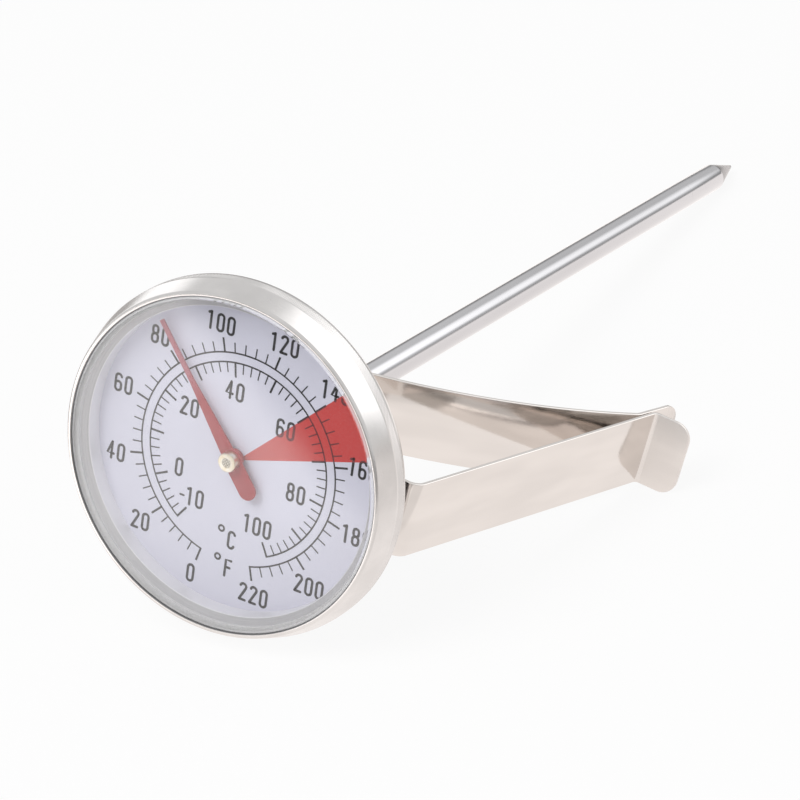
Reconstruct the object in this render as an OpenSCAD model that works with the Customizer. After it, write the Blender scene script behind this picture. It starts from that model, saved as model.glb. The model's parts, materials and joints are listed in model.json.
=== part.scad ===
// Dial thermometer with a straight probe and a spring clip for the rim of a jug.
//
// Frame: the probe runs along +Y, the dial faces -Y, 12 o'clock is +Z and 3 o'clock
// is +X. The origin is the centre of the lens's front face.
// Inside on_axis() the numbers read as on a bench: x is 3 o'clock, y is 6 o'clock and
// z is the depth behind the lens's front face. Turning about z is clockwise on the dial.

/* [Case] */
// Diameter over the knurled band, the widest part
rim_d = 45; // [38:0.5:60]
// How much smaller the bezel's radius is at its front than at the knurled band
bezel_taper = 0.85; // [0.6:0.05:1.4]
// Thickness of the bezel's sheet
bezel_t = 0.4; // [0.3:0.05:0.5]
// Width of the knurled band
band_w = 1.5; // [1.2:0.1:2.4]
// How far the bezel's lip reaches over the lens
lip_over = 0.2; // [0.1:0.05:0.4]
// Thickness of the pan's sheet
pan_t = 0.5; // [0.35:0.05:0.7]
// How far the drum at the back of the pan stands in from the pan's wall
drum_step = 1.7; // [1:0.1:5]
// Depth of that drum, behind the ledge that carries the dial
drum_h = 3.1; // [2.6:0.1:8]
// Outside radius of the drum's pressed corner
drum_round = 1.5; // [0.8:0.1:2.4]

/* [Lens and dial] */
// Thickness of the lens
lens_t = 1.2; // [0.8:0.1:1.8]
// Width of the bevel round the lens's front edge
lens_bevel = 0.55; // [0.35:0.05:0.8]
// Thickness of the gasket behind the lens
gasket_t = 0.4; // [0.2:0.05:0.8]
// Width of the gasket
gasket_w = 0.85; // [0.6:0.05:1.2]
// Height of the ring that holds the dial down
spacer_h = 2.7; // [2.4:0.1:5]
// Thickness of the dial plate
dial_t = 0.4; // [0.3:0.05:0.6]
// Width of that ring, where it covers the dial's edge
spacer_w = 1.2; // [1.1:0.05:4]
// Diameter of the hole in the middle of the dial
dial_hole_d = 2.0; // [1.6:0.1:3]

/* [Pointer] */
// Reading that the pointer rests at, in degrees Fahrenheit
reading_f = 84; // [0:1:220]
// Gap between the pointer's tip and the ring round the dial
tip_gap = 0.8; // [0.4:0.05:6]
// Pointer width beside the hub
pointer_w = 2.0; // [1:0.1:2.4]
// Width of the blade where its taper ends
waist_w = 0.66; // [0.4:0.02:1]
// Distance of that place from the axis
waist_at = 10.6; // [6:0.2:14]
// Pointer width at its tip
tip_w = 0.56; // [0.3:0.02:0.8]
// Round end of the tail to the axis
tail_len = 5.3; // [3.5:0.1:8]
// Width of the tail
tail_w = 2.35; // [1.4:0.05:2.6]
// Thickness of the pointer
pointer_t = 0.3; // [0.2:0.05:0.4]
// Diameter of the barrel under the pointer
hub_d = 2.4; // [1.4:0.1:2.8]
// Height of that barrel
hub_h = 0.7; // [0.5:0.05:1.1]
// Diameter of the cap on the pointer
cap_d = 2.4; // [1.6:0.1:3]
// Height of the cap
cap_h = 1.05; // [0.5:0.05:1.1]

/* [Probe] */
// Length from the lens's front face to the probe's point
overall_len = 140; // [125:1:220]
// Diameter of the probe
stem_d = 3.8; // [3.6:0.1:5]
// Wall of the probe's tube
stem_wall = 0.35; // [0.2:0.05:0.4]
// Length of the conical point
point_len = 6.3; // [4:0.1:10]
// Length of the plug's straight stretch behind the point
land_len = 10; // [6:0.5:16]
// Length of the plug's shank inside the tube
shank_len = 4; // [2:0.5:6]
// Diameter of the soldered collar's flange
collar_d = 8; // [7:0.5:14]

/* [Bimetal drive] */
// Diameter of the spindle
spindle_d = 1.0; // [0.8:0.05:1.2]
// Turns of the bimetal coil
coil_turns = 12; // [8:1:20]
// Pitch of the coil's turns
coil_pitch = 1.8; // [1.7:0.1:2.4]
// Width of the bimetal ribbon
ribbon_w = 1.2; // [0.8:0.1:1.25]
// Thickness of the bimetal ribbon
ribbon_t = 0.2; // [0.1:0.05:0.25]
// Length of the two posts that carry the coil's ends
post_len = 5; // [3:0.5:6]
// Length of each guide bush
bush_len = 4; // [2:0.5:6]

/* [Clip] */
// Width of the clip's strip
clip_w = 10; // [7:0.5:14]
// Thickness of the strip
clip_t = 0.5; // [0.3:0.05:0.6]
// Turn of the clip about the probe, clockwise from 3 o'clock
clip_turn = 7.5; // [-180:0.5:180]
// How far inside the rim the bend into the near arm starts
bend_in = 2.5; // [0:0.1:4]
// Radius of that bend, at the middle of the strip
bend_r = 1.75; // [1:0.05:3]
// Lean of the near arm away from the probe
arm_splay = 13.3; // [8:0.1:20]
// Length of the near arm between its bends
arm_len = 42.5; // [34:0.5:55]
// Radius of the fold at the near lip
fold_r = 0.9; // [0.7:0.1:1.5]
// Radius of the fold at the far lip
knee_r = 1.5; // [1:0.1:2.5]
// Length of the near lip past its fold
near_lip = 4.6; // [3:0.1:8]
// Rise of the near lip towards the point
near_lip_rise = 4; // [-5:1:15]
// Depth from the clip's base to where the far arm crosses the probe
hole_gap = 18; // [15:0.5:22]
// Slope of the far arm where it reaches the near arm
far_slope = 50.5; // [47:0.5:56]
// Length of the far lip
far_lip = 7.2; // [3:0.1:10]
// Slope of the far lip
far_lip_slope = 75; // [68:1:76]
// Radius of the loop behind the probe
loop_r = 5; // [3:0.25:5.5]
// How far the far arm runs on past the probe before the loop
loop_over = 4.5; // [4:0.1:7]
// Radius of the rounded corners of the lips
lip_round = 2.2; // [1:0.1:3]

/* [Hidden] */
$fn = 120;
small_fn = 48;
cut = 1;                    // how far cutting tools run past what they cut

// Clearances
press_gap = 0.02;           // radial, between pressed or soldered pieces
play = 0.05;                // radial, for the spindle in its bushes, and end play
loose = 0.1;                // drop-in pieces in the pan, and the clip's holes on the probe
rest_gap = 0.05;            // clip's base to the back of the pan
run_gap = 0.2;              // turning pieces to fixed ones
coil_play = 0.15;           // radial, inside the coil's turns
flex_gap = 0.1;             // between the clip's two halves at the bend
jaw_gap = 0.15;             // between the arms where they meet

// Radii of the case
rim_r = rim_d/2;
front_r = rim_r - bezel_taper;
lens_r = front_r - bezel_t - loose;
lip_r = lens_r - lip_over;
lens_flat_r = lens_r - lens_bevel;
bevel_rise = 0.8;           // depth of the lens's bevel to its width
bevel_h = lens_bevel*bevel_rise;
pan_r = front_r - bezel_t - play;
pan_in_r = pan_r - pan_t;
drum_r = pan_r - drum_step;
dial_r = pan_in_r - 2*loose;
view_r = pan_in_r - loose - spacer_w;
flare = 0.6;                // bevel inside the spacer ring, towards the lens
edge_r = 0.25;              // rounding of the bezel's front edge
lip_gap = 0.03;             // lip to the lens's bevel
front_set = 0.02;           // bezel's front edge behind the lens's front face
rear_in_r = 0.65;           // inside rounding of the bezel's rear edge
rear_round = rear_in_r + bezel_t;
crest_a = 50;               // slope at which the bezel's cone runs into its band
arc_steps = 8;

// Depths behind the lens's front face
pan_front = lens_t + gasket_t;
dial_face = pan_front + spacer_h;
dial_back = dial_face + dial_t;
ledge_back = dial_back + pan_t;
bezel_back = ledge_back + bezel_t;
pan_back = ledge_back + drum_h;
floor_in = pan_back - pan_t;
band_end = bezel_back - rear_round;
thrust_gap = 0.3;           // dial's back to the thrust collar
thrust_h = 0.45;
thrust_w = 0.5;             // width of the thrust collar round the spindle
thrust_top = dial_back + thrust_gap;
flange_t = 0.4;
flange_top = thrust_top + thrust_h + play;
stem_top = flange_top + flange_t;
hub_bottom = dial_face - run_gap;
pointer_back = hub_bottom - hub_h;
pointer_face = pointer_back - pointer_t;
cap_top = pointer_face - cap_h;
spindle_top = pointer_face - cap_h/2;

// Probe and drive
stem_r = stem_d/2;
stem_in_r = stem_r - stem_wall;
neck_w = 0.7;               // thickness of the collar's neck round the probe
neck_r = stem_r + neck_w;
spindle_r = spindle_d/2;
point_start = overall_len - point_len;
tube_end = point_start - land_len;
point_r = 0.15;             // blunt end of the point
weld_edge = 0.05;           // how deep the weld between tube and plug is ground down
weld_run = 0.55;            // length of the plug's taper up from the weld
shank_start = tube_end - shank_len;
coil_out_r = stem_in_r - run_gap;
coil_in_r = coil_out_r - ribbon_t;
post_r = coil_in_r - coil_play;
coil_end = shank_start - play;
coil_len = coil_turns*coil_pitch + ribbon_w;
coil_start = coil_end - coil_len;
hub_lead = 0.5;             // coil's hub ahead of the coil's first turn
bush_gap = 4;               // lower bush to the coil
spindle_end = coil_start + post_len - hub_lead;
lower_bush_at = coil_start - bush_len - bush_gap;
coil_steps = 14;            // flat facets to a turn of the ribbon

// Dial: one turn of the scale
deg_per_f = 1.5;
top_f = 110;                // reading at 12 o'clock
pointer_angle = deg_per_f*(reading_f - top_f);
pointer_len = view_r - tip_gap;
boss_w = 0.3;               // round boss of the pointer past its barrel
cap_ease = 0.15;            // rounding of the cap's rim

// Clip, in its own plane: u runs out from the probe's axis, v is the depth
clip_v = pan_back + rest_gap + clip_t/2;
bend_at = rim_r - bend_in;
split_in = 0.45;            // where the strip is parted, before the bend
split_u = bend_at - split_in;
arm_a = 90 - arm_splay;
arm_u = bend_at + bend_r*sin(arm_a);
arm_v = clip_v + bend_r*(1 - cos(arm_a));
pinch_back = 1.6;           // contact of the arms, before the near arm's fold
pinch = [arm_u + (arm_len - pinch_back)*cos(arm_a) - (clip_t + jaw_gap)*sin(arm_a),
         arm_v + (arm_len - pinch_back)*sin(arm_a) + (clip_t + jaw_gap)*cos(arm_a)];
far_end = pinch - knee_r*[sin(far_lip_slope) - sin(far_slope),
                          cos(far_slope) - cos(far_lip_slope)];
cross_v = clip_v + hole_gap;
chord_a = atan2(far_end[1] - cross_v, far_end[0]);
chord = norm([far_end[0], far_end[1] - cross_v]);
far_r = chord/(2*sin(far_slope - chord_a));
cross_a = 2*chord_a - far_slope;
loop_a = asin(sin(cross_a) - loop_over/far_r);
loop_v = cross_v - far_r*(cos(loop_a) - cos(cross_a));
loop_u = loop_r*sin(loop_a) - loop_over;
spine_len = loop_v - loop_r*cos(loop_a) - (clip_v + loop_r);

// --- helpers ---

// Turns depth into +Y and 6 o'clock into -Z
module on_axis() rotate([-90, 0, 0]) children();

// A turned ring or disc from its half profile of [radius, depth] points
module turned(profile) on_axis() rotate_extrude() polygon(profile);

// A plain tube between two depths
module tube(r_out, r_in, from, to, fn = $fn)
    on_axis() translate([0, 0, from]) difference() {
        cylinder(r = r_out, h = to - from, $fn = fn);
        translate([0, 0, -cut]) cylinder(r = r_in, h = to - from + 2*cut, $fn = fn);
    }

// Points of an arc about c, from angle a to angle b
function arc(c, r, a, b, n = arc_steps) =
    [for (i = [0:n]) let (t = a + (b - a)*i/n) c + r*[cos(t), sin(t)]];

// Walks a strip's middle line: [u, v, heading] states from straight runs and bends
function walk_run(s, length) =
    [[s[0] + length*cos(s[2]), s[1] + length*sin(s[2]), s[2]]];
function walk_bend(s, r, turn, n) =
    [for (i = [1:n]) let (a = s[2] + turn*i/n, side = turn < 0 ? -1 : 1)
        [s[0] + side*r*(sin(a) - sin(s[2])), s[1] - side*r*(cos(a) - cos(s[2])), a]];
function walk(steps, states, i = 0) = i == len(steps) ? states :
    let (s = states[len(states) - 1], d = steps[i])
    walk(steps, concat(states, len(d) == 1 ? walk_run(s, d[0])
                                           : walk_bend(s, d[0], d[1], d[2])), i + 1);
function side_of(states, off) =
    [for (s = states) [s[0] - off*sin(s[2]), s[1] + off*cos(s[2])]];
function reversed(list) = [for (i = [len(list) - 1:-1:0]) list[i]];

// A strip of the clip's width and thickness along walked states
module strip(states)
    rotate([90, 0, 0]) linear_extrude(height = clip_w, center = true)
        polygon(concat(side_of(states, clip_t/2), reversed(side_of(states, -clip_t/2))));

// Takes both corners off a lip that ends at state s, pointing along its heading
module round_lip(s)
    translate([s[0], 0, s[1]]) rotate([0, -s[2], 0])
        for (side = [-1, 1]) scale([1, side, 1])
            difference() {
                translate([-lip_round, clip_w/2 - lip_round, -clip_t])
                    cube([lip_round + cut, lip_round + cut, 2*clip_t]);
                translate([-lip_round, clip_w/2 - lip_round, -2*clip_t])
                    cylinder(r = lip_round, h = 4*clip_t, $fn = small_fn);
            }

function last(list) = list[len(list) - 1];

// Near arm: from the split, round the bend, down the arm and out to its lip
jaw_path = walk([[bend_at - split_u - flex_gap/2], [bend_r, arm_a, 8], [arm_len],
                 [fold_r, near_lip_rise - arm_a, 6], [near_lip]],
                [[split_u + flex_gap/2, clip_v, 0]]);
// Rest of the strip: base, loop behind the probe, far arm and its lip
frame_path = walk([[split_u - flex_gap/2 - loop_u], [loop_r, -90, 10], [spine_len],
                   [loop_r, loop_a - 90, 8], [far_r, far_slope - loop_a, 14],
                   [knee_r, far_lip_slope - far_slope, 4], [far_lip]],
                  [[split_u - flex_gap/2, clip_v, 180]]);

// --- case ---

module case_pan() color("gainsboro")
    turned(concat(
        [[pan_in_r, pan_front], [pan_r, pan_front], [pan_r, ledge_back], [drum_r, ledge_back]],
        arc([drum_r - drum_round, pan_back - drum_round], drum_round, 0, 90),
        [[stem_r + press_gap, pan_back], [stem_r + press_gap, floor_in]],
        arc([drum_r - drum_round, pan_back - drum_round], drum_round - pan_t, 90, 0),
        [[drum_r - pan_t, dial_back], [pan_in_r, dial_back]]));

module bezel_ring() color("silver")
    turned(concat(
        [[lip_r, bevel_h*(lens_r - lip_over - lens_flat_r)/lens_bevel - lip_gap]],
        arc([lip_r + edge_r/2, front_set + edge_r/2], edge_r/2, 180, 270),
        arc([front_r - edge_r, front_set + edge_r], edge_r, -90, -10),
        arc([rim_r - edge_r, band_end - band_w + edge_r/2], edge_r, -crest_a, 0, 4),
        arc([rim_r - rear_round, band_end], rear_round, 0, 90),
        [[drum_r + loose, bezel_back], [drum_r + loose, ledge_back]],
        arc([rim_r - rear_round, band_end], rear_in_r, 90, 0, 4),
        [[rim_r - bezel_t, band_end - band_w + edge_r],
         [front_r - bezel_t, lens_t], [front_r - bezel_t, bevel_h - lip_gap]]));

module lens() color("lightcyan", 0.35)
    turned([[0, 0], [lens_flat_r, 0], [lens_r, bevel_h], [lens_r, lens_t], [0, lens_t]]);

module lens_gasket() color("whitesmoke")
    tube(lens_r, lens_r - gasket_w, lens_t, pan_front);

module spacer_ring() color("gainsboro")
    turned([[pan_in_r - loose, pan_front], [pan_in_r - loose, dial_face],
            [view_r, dial_face], [view_r + flare, pan_front + flare],
            [lens_r - gasket_w, pan_front]]);

module dial_plate() color("lavender")
    tube(dial_r, dial_hole_d/2, dial_face, dial_back);

// --- probe ---

module stem_collar() color("silver")
    turned([[stem_r + press_gap, floor_in], [collar_d/2, floor_in],
            [collar_d/2, floor_in - flange_t], [neck_r, floor_in - 2*flange_t],
            [neck_r, stem_top], [stem_r + press_gap, stem_top]]);

module stem_tube() color("silver")
    turned([[stem_in_r, stem_top], [stem_r, stem_top], [stem_r, tube_end - weld_edge],
            [stem_r - weld_edge, tube_end], [stem_in_r, tube_end]]);

module tip_plug() color("silver")
    turned([[0, shank_start], [stem_in_r - press_gap, shank_start],
            [stem_in_r - press_gap, tube_end], [stem_r - weld_edge, tube_end],
            [stem_r, tube_end + weld_run], [stem_r, point_start],
            [point_r, overall_len - point_r], [0, overall_len]]);

// --- bimetal drive ---

module coil_anchor() color("goldenrod")
    on_axis() translate([0, 0, shank_start - post_len])
        cylinder(r = post_r, h = post_len, $fn = small_fn);

module bimetal_coil() color("peru") {
    n = coil_turns*coil_steps;
    points = [for (i = [0:n], corner = [0:3])
        let (a = 360*i/coil_steps,
             r = corner == 0 || corner == 3 ? coil_in_r : coil_out_r,
             z = coil_start + coil_pitch*i/coil_steps + (corner < 2 ? 0 : ribbon_w))
        [r*cos(a), r*sin(a), z]];
    walls = [for (i = [0:n - 1], k = [0:3], half = [0, 1])
        let (a = 4*i + k, b = 4*i + (k + 1)%4)
        half == 0 ? [a, b, b + 4] : [a, b + 4, a + 4]];
    ends = [[0, 2, 1], [0, 3, 2], [4*n, 4*n + 1, 4*n + 2], [4*n, 4*n + 2, 4*n + 3]];
    on_axis() polyhedron(points, concat(walls, ends));
}

module coil_hub() color("goldenrod")
    tube(post_r, spindle_r + press_gap, coil_start - hub_lead, spindle_end, small_fn);

module guide_bush(from) color("goldenrod")
    tube(stem_in_r - press_gap, spindle_r + play, from, from + bush_len, small_fn);

module lower_guide_bush() guide_bush(lower_bush_at);

module upper_guide_bush() color("goldenrod")
    turned([[spindle_r + play, flange_top], [neck_r, flange_top],
            [neck_r, stem_top], [stem_in_r - press_gap, stem_top],
            [stem_in_r - press_gap, stem_top + bush_len],
            [spindle_r + play, stem_top + bush_len]]);

module spindle() color("silver")
    on_axis() translate([0, 0, spindle_top])
        cylinder(r = spindle_r, h = spindle_end - spindle_top, $fn = small_fn);

module thrust_collar() color("goldenrod")
    tube(spindle_r + thrust_w, spindle_r + press_gap, thrust_top, thrust_top + thrust_h,
         small_fn);

// --- pointer ---

module pointer_hub() color("firebrick")
    tube(hub_d/2, spindle_r + press_gap, pointer_back, hub_bottom, small_fn);

module pointer() color("firebrick")
    on_axis() rotate([0, 0, pointer_angle]) translate([0, 0, pointer_face])
        difference() {
            linear_extrude(height = pointer_t) {
                polygon([[-tip_w/2, -pointer_len], [tip_w/2, -pointer_len],
                         [waist_w/2, -waist_at], [pointer_w/2, 0],
                         [-pointer_w/2, 0], [-waist_w/2, -waist_at]]);
                translate([-tail_w/2, 0]) square([tail_w, tail_len - tail_w/2]);
                translate([0, tail_len - tail_w/2]) circle(d = tail_w, $fn = small_fn);
                circle(r = hub_d/2 + boss_w, $fn = small_fn);
            }
            translate([0, 0, -cut])
                cylinder(r = spindle_r + press_gap, h = pointer_t + 2*cut, $fn = small_fn);
        }

module hub_cap() color("khaki")
    turned(concat([[0, cap_top]],
        arc([cap_d/2 - cap_ease, cap_top + cap_ease], cap_ease, -90, 0, 4),
        [[cap_d/2, pointer_face], [spindle_r + press_gap, pointer_face],
         [spindle_r + press_gap, spindle_top - press_gap], [0, spindle_top - press_gap]]));

// --- clip ---

module on_clip() on_axis() rotate([0, 0, clip_turn]) children();

module clip_frame() color("lightgray")
    on_clip() difference() {
        strip(frame_path);
        translate([0, 0, clip_v - clip_t])
            cylinder(r = stem_r + loose, h = hole_gap + 6*clip_t + stem_d);
        round_lip(last(frame_path));
    }

module clip_jaw() color("lightgray")
    on_clip() difference() {
        strip(jaw_path);
        round_lip(last(jaw_path));
    }

case_pan();
bezel_ring();
lens();
lens_gasket();
spacer_ring();
dial_plate();
stem_collar();
stem_tube();
tip_plug();
coil_anchor();
bimetal_coil();
coil_hub();
lower_guide_bush();
upper_guide_bush();
spindle();
thrust_collar();
pointer_hub();
pointer();
hub_cap();
clip_frame();
clip_jaw();
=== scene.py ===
"""Finishes and fine shapes of the dial thermometer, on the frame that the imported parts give.

Lengths are in millimetres up to the point where a mesh is made. In the row frame x is
3 o'clock on the dial, y is the depth behind the lens's front face and z is 12 o'clock.
A turned piece is drawn as [radius, depth] points, and the clip as runs and bends in its
own plane, where u runs out from the probe and v is the depth.
"""
import json
import math

import bmesh
import bpy
from mathutils import Matrix, Vector


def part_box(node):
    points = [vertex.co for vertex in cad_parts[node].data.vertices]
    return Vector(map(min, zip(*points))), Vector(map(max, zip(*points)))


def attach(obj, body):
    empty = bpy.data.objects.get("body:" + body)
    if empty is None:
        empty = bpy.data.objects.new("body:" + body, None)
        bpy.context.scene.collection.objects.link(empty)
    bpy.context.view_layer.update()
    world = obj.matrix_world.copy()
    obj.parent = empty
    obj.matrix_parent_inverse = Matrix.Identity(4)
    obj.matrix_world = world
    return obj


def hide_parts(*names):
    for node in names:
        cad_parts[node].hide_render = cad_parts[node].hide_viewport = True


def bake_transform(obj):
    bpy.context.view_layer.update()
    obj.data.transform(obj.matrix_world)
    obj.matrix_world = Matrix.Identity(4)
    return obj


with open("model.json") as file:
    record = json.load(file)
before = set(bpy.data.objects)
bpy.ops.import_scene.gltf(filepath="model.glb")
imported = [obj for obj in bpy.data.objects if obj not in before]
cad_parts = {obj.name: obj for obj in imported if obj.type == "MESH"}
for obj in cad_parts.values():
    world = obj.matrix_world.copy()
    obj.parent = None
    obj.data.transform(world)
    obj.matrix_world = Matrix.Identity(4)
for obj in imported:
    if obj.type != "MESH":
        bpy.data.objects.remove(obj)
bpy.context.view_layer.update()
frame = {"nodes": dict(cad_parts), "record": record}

MM = 0.001
X, Y, Z = 0, 1, 2


def span(node, axis):
    """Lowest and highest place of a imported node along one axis."""
    low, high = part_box(node)
    return low[axis] / MM, high[axis] / MM


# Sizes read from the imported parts
RIM_R = span("bezel_ring", X)[1]
BEZEL_BACK = span("bezel_ring", Y)[1]
LENS_R, LENS_BACK = span("lens", X)[1], span("lens", Y)[1]
PAN_R = span("case_pan", X)[1]
PAN_FRONT, PAN_BACK = span("case_pan", Y)
RING_R = span("spacer_ring", X)[1]
RING_FRONT = span("spacer_ring", Y)[0]
DIAL_FACE, DIAL_BACK = span("dial_plate", Y)
STEM_R = span("stem_tube", X)[1]
STEM_TOP, STEM_END = span("stem_tube", Y)
SHANK_START, POINT_END = span("tip_plug", Y)
BLADE_FACE, BLADE_BACK = span("pointer", Y)
CAP_R, CAP_TOP = span("hub_cap", X)[1], span("hub_cap", Y)[0]

# Case
SHEET_T = 0.4  # bezel's sheet
PAN_T = 0.5  # pan's sheet
BEZEL_TAPER = 0.85  # bezel's front radius inside the knurled band's
BAND_W = 1.5  # knurled band
REAR_R = 0.65  # inside rounding of the bezel's rear edge
LIP_OVER = 0.2  # bezel's lip over the lens
LIP_SET = 0.02  # bezel's front edge behind the lens's front
BEVEL_W, BEVEL_H = 0.55, 0.44
DRUM_STEP = 1.7  # drum's wall inside the pan's wall
DRUM_ROUND = 1.5
GASKET_W = 0.85
RING_W = 1.2  # spacer ring over the dial's edge
FLARE = 0.6  # bevel inside the spacer ring
FRONT_R = RIM_R - BEZEL_TAPER
VIEW_R = RING_R - RING_W
DRUM_R = PAN_R - DRUM_STEP
LEDGE_BACK = DIAL_BACK + PAN_T
KNURL_AROUND, KNURL_ROWS = 300, 7
KNURL_H = 0.035

# Probe
STEM_WALL = 0.35
SEAM = 0.02  # seam of the probe's tube with its plug and with the pan
POINT_LEN, POINT_R = 6.3, 0.15
CONE_AT = POINT_END - POINT_LEN
SHADE_FROM, SHADE_TO = 20, 100  # depths between which the probe's colour darkens, as painted shade

# Pointer
BLADE_LEN = 18.6
BLADE_W, TIP_W = 2.0, 0.56
WAIST_W, WAIST_AT = 0.66, 10.6  # blade's width where its taper ends
TAIL_LEN, TAIL_W = 5.3, 2.35
BOSS_R = 1.5
HATCH_R, HATCH_STEP = CAP_R * 0.5, 0.4  # hatched middle of the cap
READING_F = 84

# Clip
CLIP_W, CLIP_T = 10, 0.5
CLIP_TURN = 7.5  # degrees clockwise from 3 o'clock
CLIP_V = PAN_BACK + 0.05 + CLIP_T / 2
BEND_AT = RIM_R - 2.5  # where the near bend begins
SPLIT_U = BEND_AT - 0.45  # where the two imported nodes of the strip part
FLEX_GAP, JAW_GAP = 0.1, 0.15
BEND_R = 1.75
ARM_SPLAY, ARM_LEN = 13.3, 42.5
LIPS_FROM = 31.9  # strip's finish is duller from here out, on its lips
NEAR_FOLD_R, NEAR_LIP, NEAR_LIP_RISE = 0.9, 4.6, 4
PINCH_BACK = 1.6  # where the arms meet, before the near arm's fold
CROSS_V = CLIP_V + 18  # where the far arm crosses the probe
FAR_SLOPE, FAR_LIP, FAR_LIP_SLOPE, KNEE_R = 50.5, 7.2, 75, 1.5
LOOP_R, LOOP_OVER = 5, 4.5  # loop's bends, and its reach past the probe
LIP_ROUND = 2.2
HOLE_PLAY = 0.1
FLEX_LEN = 2.0  # a stretch at the near bend
STRIP_EDGE = 0.1  # rounding of the strip's long edges

# Dial print, as radii and widths
F_RING, F_MAJOR, F_MINOR = 13.45, 15.25, 14.75
C_RING, C_MAJOR, C_MINOR = 12.25, 10.39, 10.95
RING_LINE, MAJOR_LINE, MINOR_LINE = 0.2, 0.26, 0.16
DEG_PER_F, TOP_F = 1.5, 110
FREEZING_F, F_PER_C = 32, 1.8
SECTOR_C = (60, 70)
SECTOR_IN, SECTOR_OUT = 0.95, VIEW_R + 0.55
FIGURE_H, FIGURE_W, FIGURE_STEP, FIGURE_LINE = 2.12, 0.8, 1.45, 0.33
PRINT_LIFT = 0.02  # print above the dial's paint
PRINT_OFF = (0.215, -0.29)  # print's centre from the dial's, as it was laid a little off
# Radius and centre of each circle of figures
F_FIGURES_R, F_FIGURES_OFF = 17.3, (0.2, -0.35)
C_FIGURES_R, C_FIGURES_OFF = 8.55, (0.05, -0.2)
UNIT_SIGNS = (("C", 0.75, -10.78), ("F", 0.7, -14.56))
DEGREE_OFF = (-1.53, 1.11)  # degree ring from its letter
MINUS_OFF = (-1.73, -0.15)  # minus from its number
# How far single figures stand from where their reading puts them
F_NUDGE = {0: (0, 0.15), 80: (-0.2, 0), 100: (-0.03, -0.24), 120: (-0.19, -0.23),
           140: (-0.47, 0.63), 180: (0.3, 0.3), 200: (-0.5, -0.42), 220: (-0.04, 0.28)}
C_NUDGE = {0: (0, 0.22), 20: (0.44, 0.55), 60: (0, -0.15), 80: (0.05, -0.33)}

FACETS = 256  # round a turned piece


def turn_of_f(reading):
    """Degrees clockwise from 12 o'clock of a Fahrenheit reading."""
    return DEG_PER_F * (reading - TOP_F)


def turn_of_c(reading):
    return turn_of_f(FREEZING_F + F_PER_C * reading)


def sin(degrees):
    return math.sin(math.radians(degrees))


def cos(degrees):
    return math.cos(math.radians(degrees))


# --- node trees ---

class Socket:
    """An output of a node; arithmetic on it adds Math nodes to its tree."""

    def __init__(self, tree, socket):
        self.tree, self.socket = tree, socket

    def maths(self, operation, *values):
        return self.tree.node("ShaderNodeMath", {"operation": operation},
                              dict(enumerate(values)))

    def __add__(self, other): return self.maths("ADD", self, other)
    def __radd__(self, other): return self.maths("ADD", other, self)
    def __sub__(self, other): return self.maths("SUBTRACT", self, other)
    def __rsub__(self, other): return self.maths("SUBTRACT", other, self)
    def __mul__(self, other): return self.maths("MULTIPLY", self, other)
    def __truediv__(self, other): return self.maths("DIVIDE", self, other)
    def __pow__(self, other): return self.maths("POWER", self, other)
    def __mod__(self, other): return self.maths("FLOORED_MODULO", self, other)
    def sin(self): return self.maths("SINE", self)
    def cos(self): return self.maths("COSINE", self)
    def floor(self): return self.maths("FLOOR", self)
    def round(self): return self.maths("ROUND", self)
    def abs(self): return self.maths("ABSOLUTE", self)
    def less(self, other): return self.maths("LESS_THAN", self, other)
    def most(self, other): return self.maths("MAXIMUM", self, other)


class Tree:
    """A node tree. node() makes any node: its settings first, then its sockets."""

    def __init__(self, nodes):
        self.nodes = nodes

    def node(self, kind, settings=None, values=None, output=0):
        made = self.nodes.nodes.new(kind)
        for key, value in (settings or {}).items():
            setattr(made, key, value)
        for key, value in (values or {}).items():
            if isinstance(value, Socket):
                self.nodes.links.new(value.socket, made.inputs[key])
            else:
                made.inputs[key].default_value = value
        return Socket(self, made.outputs[output]) if made.outputs else made

    def split(self, vector):
        x = self.node("ShaderNodeSeparateXYZ", values={0: vector})
        return [Socket(self, out) for out in x.socket.node.outputs]

    def join(self, x, y, z):
        return self.node("ShaderNodeCombineXYZ", values={0: x, 1: y, 2: z})

    def between(self, value, low, high, to_low=0.0, to_high=1.0):
        """Value taken smoothly from low..high to to_low..to_high."""
        return self.node("ShaderNodeMapRange", {"interpolation_type": "SMOOTHSTEP"},
                         {0: value, 1: low, 2: high, 3: to_low, 4: to_high})

    def rays(self):
        """What is one where the camera looks, and one where metal or glass does."""
        camera, glossy, through = (
            self.node("ShaderNodeLightPath", output="Is %s Ray" % ray)
            for ray in ("Camera", "Glossy", "Transmission"))
        return camera, glossy.most(through)


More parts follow.
